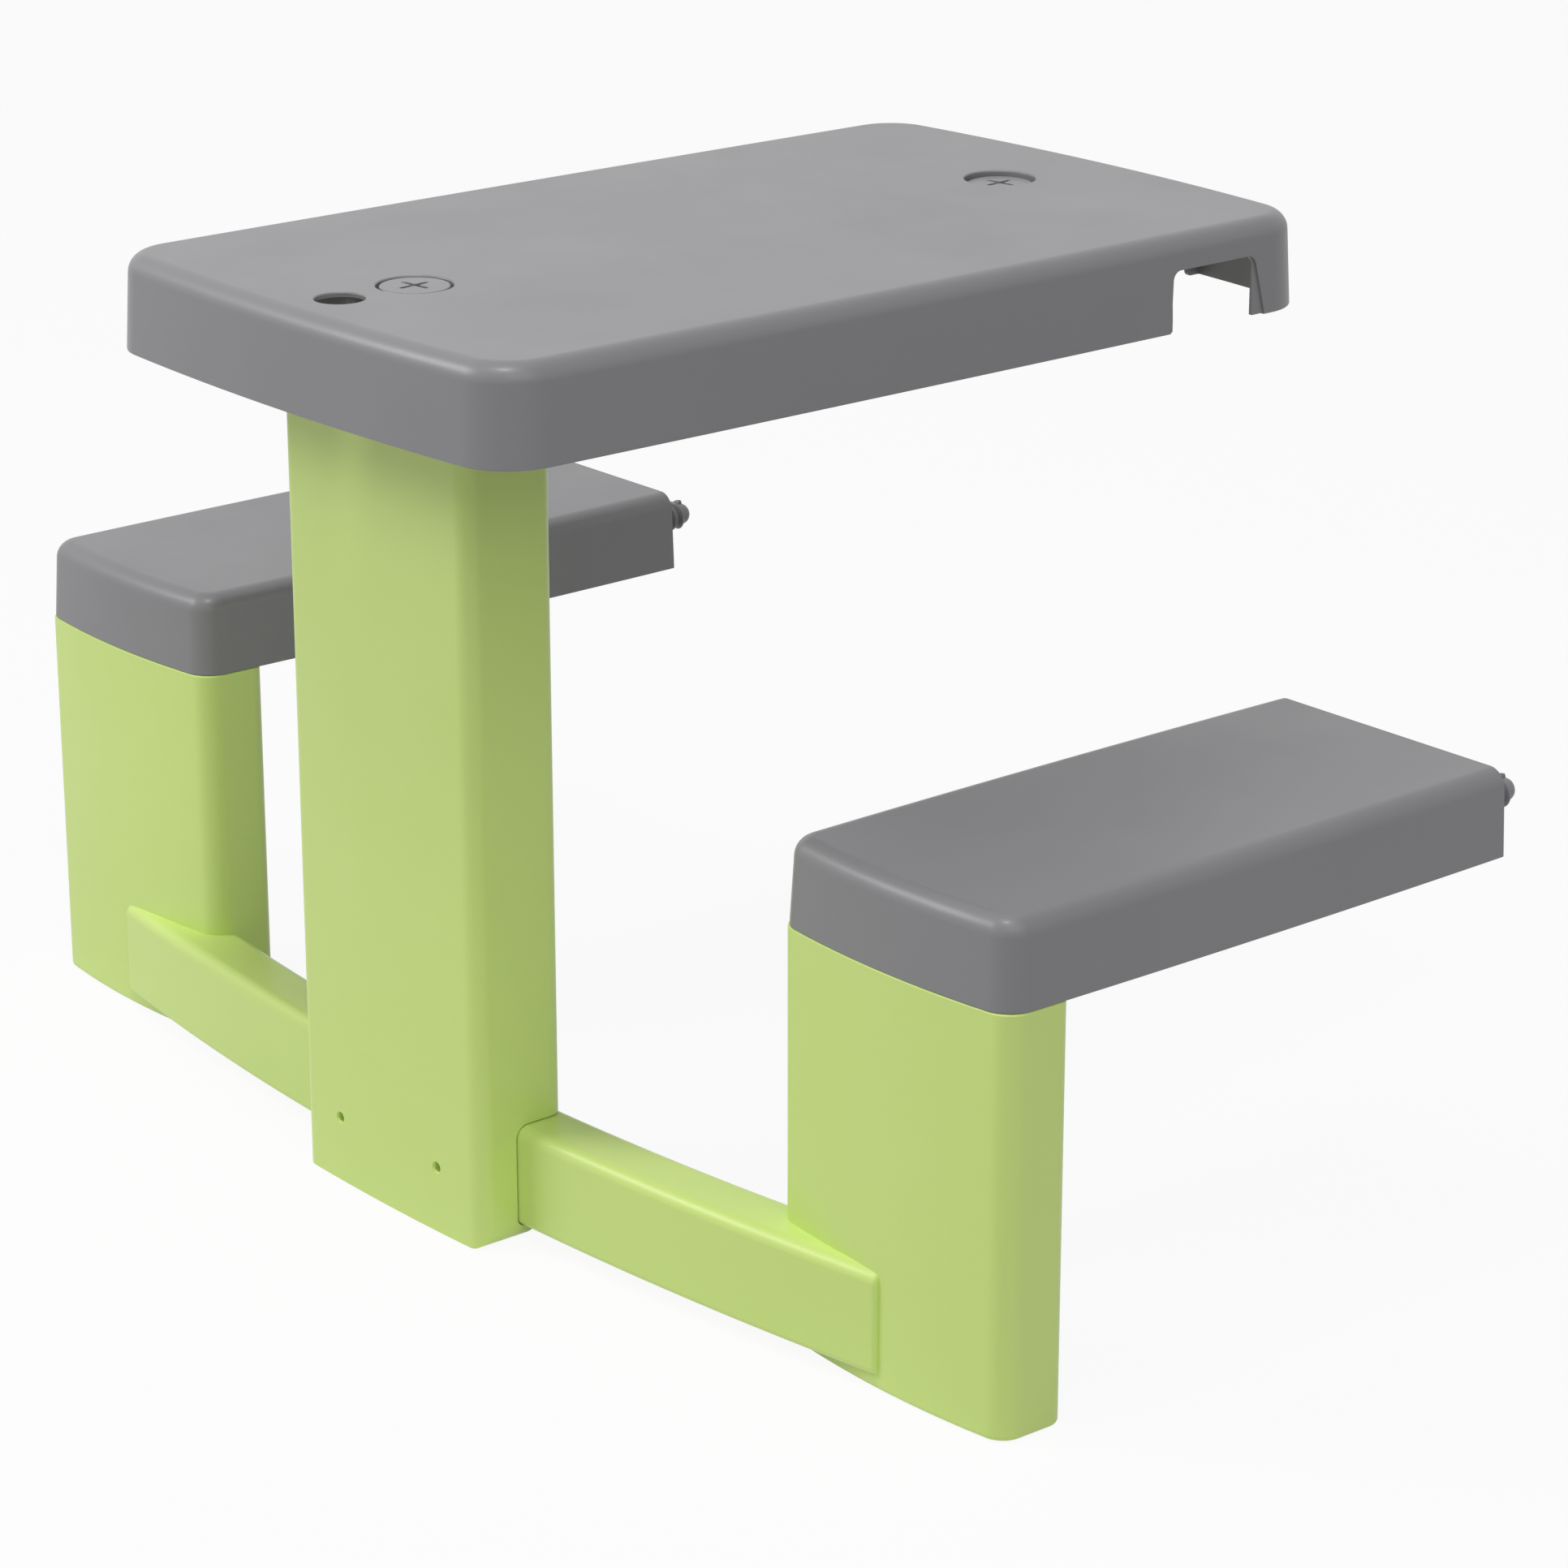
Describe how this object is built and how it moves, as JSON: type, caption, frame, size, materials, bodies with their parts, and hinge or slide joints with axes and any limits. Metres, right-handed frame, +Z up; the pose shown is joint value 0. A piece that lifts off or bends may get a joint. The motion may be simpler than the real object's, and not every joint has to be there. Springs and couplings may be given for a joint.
{
  "type": "kids picnic table, wall-mounted half",
  "caption": "Half picnic table for small children: grey table top and bench seats on a green post and base, made to straddle and butt a thin wall.",
  "frame": {"origin": "centre of the bounding box in X and Y, on the ground plane", "axes": "+X from the table's outer end to the wall that it is fixed to, +Y across the table to the left seat, +Z up"},
  "size_m": [0.568, 0.8432, 0.5],
  "materials": {
    "grey_plastic": "satin moulded surface",
    "green_plastic": "satin moulded surface",
    "screw_plastic": "satin moulded surface",
    "zinc_steel": "bright zinc plating"
  },
  "bodies": {
    "table": {"table_top": "grey_plastic", "table_post": "green_plastic", "base_frame": "green_plastic", "seat_left": "grey_plastic", "seat_right": "grey_plastic", "post_fixing_screws": "zinc_steel", "seat_fixing_screws": "zinc_steel"},
    "table_post_screw": {"table_post_screw": "screw_plastic"},
    "table_sill_screw": {"table_sill_screw": "screw_plastic"},
    "seat_left_outer_screw": {"seat_left_outer_screw": "screw_plastic"},
    "seat_left_inner_screw": {"seat_left_inner_screw": "screw_plastic"},
    "seat_right_outer_screw": {"seat_right_outer_screw": "screw_plastic"},
    "seat_right_inner_screw": {"seat_right_inner_screw": "screw_plastic"}
  },
  "joints": [
    {"name": "table_post_screw_turn", "type": "hinge", "parent": "table", "child": "table_post_screw", "pos_m": [-0.2, 0, 0.4967], "axis": [0, 0, 1], "continuous": true},
    {"name": "table_sill_screw_turn", "type": "hinge", "parent": "table", "child": "table_sill_screw", "pos_m": [0.2015, 0, 0.4944], "axis": [0, 0, 1], "continuous": true},
    {"name": "seat_left_outer_screw_turn", "type": "hinge", "parent": "table", "child": "seat_left_outer_screw", "pos_m": [0.1697, 0.3976, 0.2472], "axis": [1, 0, 0], "continuous": true},
    {"name": "seat_left_inner_screw_turn", "type": "hinge", "parent": "table", "child": "seat_left_inner_screw", "pos_m": [0.1697, 0.2752, 0.2472], "axis": [1, 0, 0], "continuous": true},
    {"name": "seat_right_outer_screw_turn", "type": "hinge", "parent": "table", "child": "seat_right_outer_screw", "pos_m": [0.1697, -0.3976, 0.2472], "axis": [1, 0, 0], "continuous": true},
    {"name": "seat_right_inner_screw_turn", "type": "hinge", "parent": "table", "child": "seat_right_inner_screw", "pos_m": [0.1697, -0.2752, 0.2472], "axis": [1, 0, 0], "continuous": true}
  ]
}
